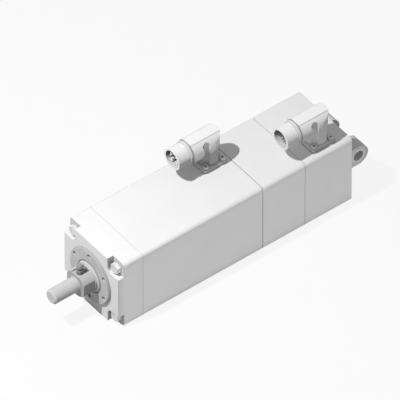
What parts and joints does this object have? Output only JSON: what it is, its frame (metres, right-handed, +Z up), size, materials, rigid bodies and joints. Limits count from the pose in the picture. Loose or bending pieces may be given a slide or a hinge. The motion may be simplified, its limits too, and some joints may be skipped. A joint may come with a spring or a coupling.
{
  "type": "electric cylinder",
  "caption": "Square electric cylinder with a hollow-rotor motor, sliding piston rod with a threaded stud, rear clevis and angled connectors that swivel.",
  "frame": {"origin": "on the rod's axis, in the plane of the front flange's face", "axes": "+X along the rod, the way it extends; +Z up, with the connectors on top; +Y to the left seen from the rear, so that the set is right-handed"},
  "size_m": [0.3687, 0.085, 0.125],
  "materials": {
    "body_paint": "satin",
    "clevis_paint": "satin",
    "gland_metal": "satin",
    "rod_chrome": "polished",
    "stud_steel": "turned",
    "fastener_steel": "zinc plated",
    "bearing_steel": "ground",
    "screw_steel": "ground",
    "lamination_steel": "stacked",
    "magnet": "nickel plated",
    "copper": "enamelled",
    "bronze": "sintered",
    "seal_rubber": "matt",
    "connector_metal": "satin",
    "insert_plastic": "moulded",
    "contact_brass": "plated"
  },
  "bodies": {
    "housing": {"bearing_housing": "body_paint", "bearing_retainer": "bearing_steel", "clevis_bushes": "bronze", "clevis_screws": "fastener_steel", "flange_bolts": "fastener_steel", "front_bearing_outer_ring": "bearing_steel", "front_bearing_rollers": "bearing_steel", "front_flange": "body_paint", "front_winding": "copper", "guide_bush": "bronze", "power_connector_base": "connector_metal", "power_connector_gasket": "seal_rubber", "power_connector_screws": "fastener_steel", "rear_clevis": "clevis_paint", "rear_cover": "body_paint", "rear_cover_seal_ring": "seal_rubber", "rear_winding": "copper", "resolver_bracket": "screw_steel", "resolver_stator": "lamination_steel", "rod_gland": "gland_metal", "rod_seal": "seal_rubber", "signal_connector_base": "connector_metal", "signal_connector_gasket": "seal_rubber", "signal_connector_screws": "fastener_steel", "stator_core": "lamination_steel", "stator_housing": "body_paint", "stator_seal_ring": "seal_rubber", "thrust_bearing_front_outer_ring": "bearing_steel", "thrust_bearing_front_rollers": "bearing_steel", "thrust_bearing_rear_outer_ring": "bearing_steel", "thrust_bearing_rear_rollers": "bearing_steel", "tie_bolts": "fastener_steel", "wiper_ring": "seal_rubber"},
    "spindle": {"drive_screw": "screw_steel", "rotor_sleeve": "screw_steel", "rotor_magnets": "magnet", "front_bearing_inner_ring": "bearing_steel", "thrust_bearing_front_inner_ring": "bearing_steel", "thrust_bearing_rear_inner_ring": "bearing_steel", "bearing_lock_nut": "bearing_steel", "resolver_rotor": "lamination_steel"},
    "rod": {"piston_rod": "rod_chrome", "rod_stud": "stud_steel", "grease_nipple": "fastener_steel", "screw_nut": "screw_steel"},
    "power_receptacle": {"power_connector_elbow": "connector_metal", "power_connector_swivel_ring": "connector_metal", "power_connector_barrel": "connector_metal", "power_connector_collar": "connector_metal", "power_connector_insert": "insert_plastic", "power_connector_contacts": "contact_brass"},
    "signal_receptacle": {"signal_connector_elbow": "connector_metal", "signal_connector_swivel_ring": "connector_metal", "signal_connector_barrel": "connector_metal", "signal_connector_collar": "connector_metal", "signal_connector_insert": "insert_plastic", "signal_connector_contacts": "contact_brass"}
  },
  "joints": [
    {"name": "spindle_spin", "type": "hinge", "parent": "housing", "child": "spindle", "pos_m": [-0.2, 0, 0], "axis": [-1, 0, 0], "range_deg": [0, 3600]},
    {"name": "rod_slide", "type": "slide", "parent": "housing", "child": "rod", "axis": [1, 0, 0], "range_m": [0, 0.1]},
    {"name": "power_swivel", "type": "hinge", "parent": "housing", "child": "power_receptacle", "pos_m": [-0.1604, -0.0215, 0.07], "axis": [0, 0, 1], "range_deg": [-155, 155]},
    {"name": "signal_swivel", "type": "hinge", "parent": "housing", "child": "signal_receptacle", "pos_m": [-0.2609, 0.0215, 0.07], "axis": [0, 0, 1], "range_deg": [-155, 155]}
  ],
  "couplings": [
    {"joint": "rod_slide", "follows": "spindle_spin", "m_per_rad": 0.0015915}
  ]
}
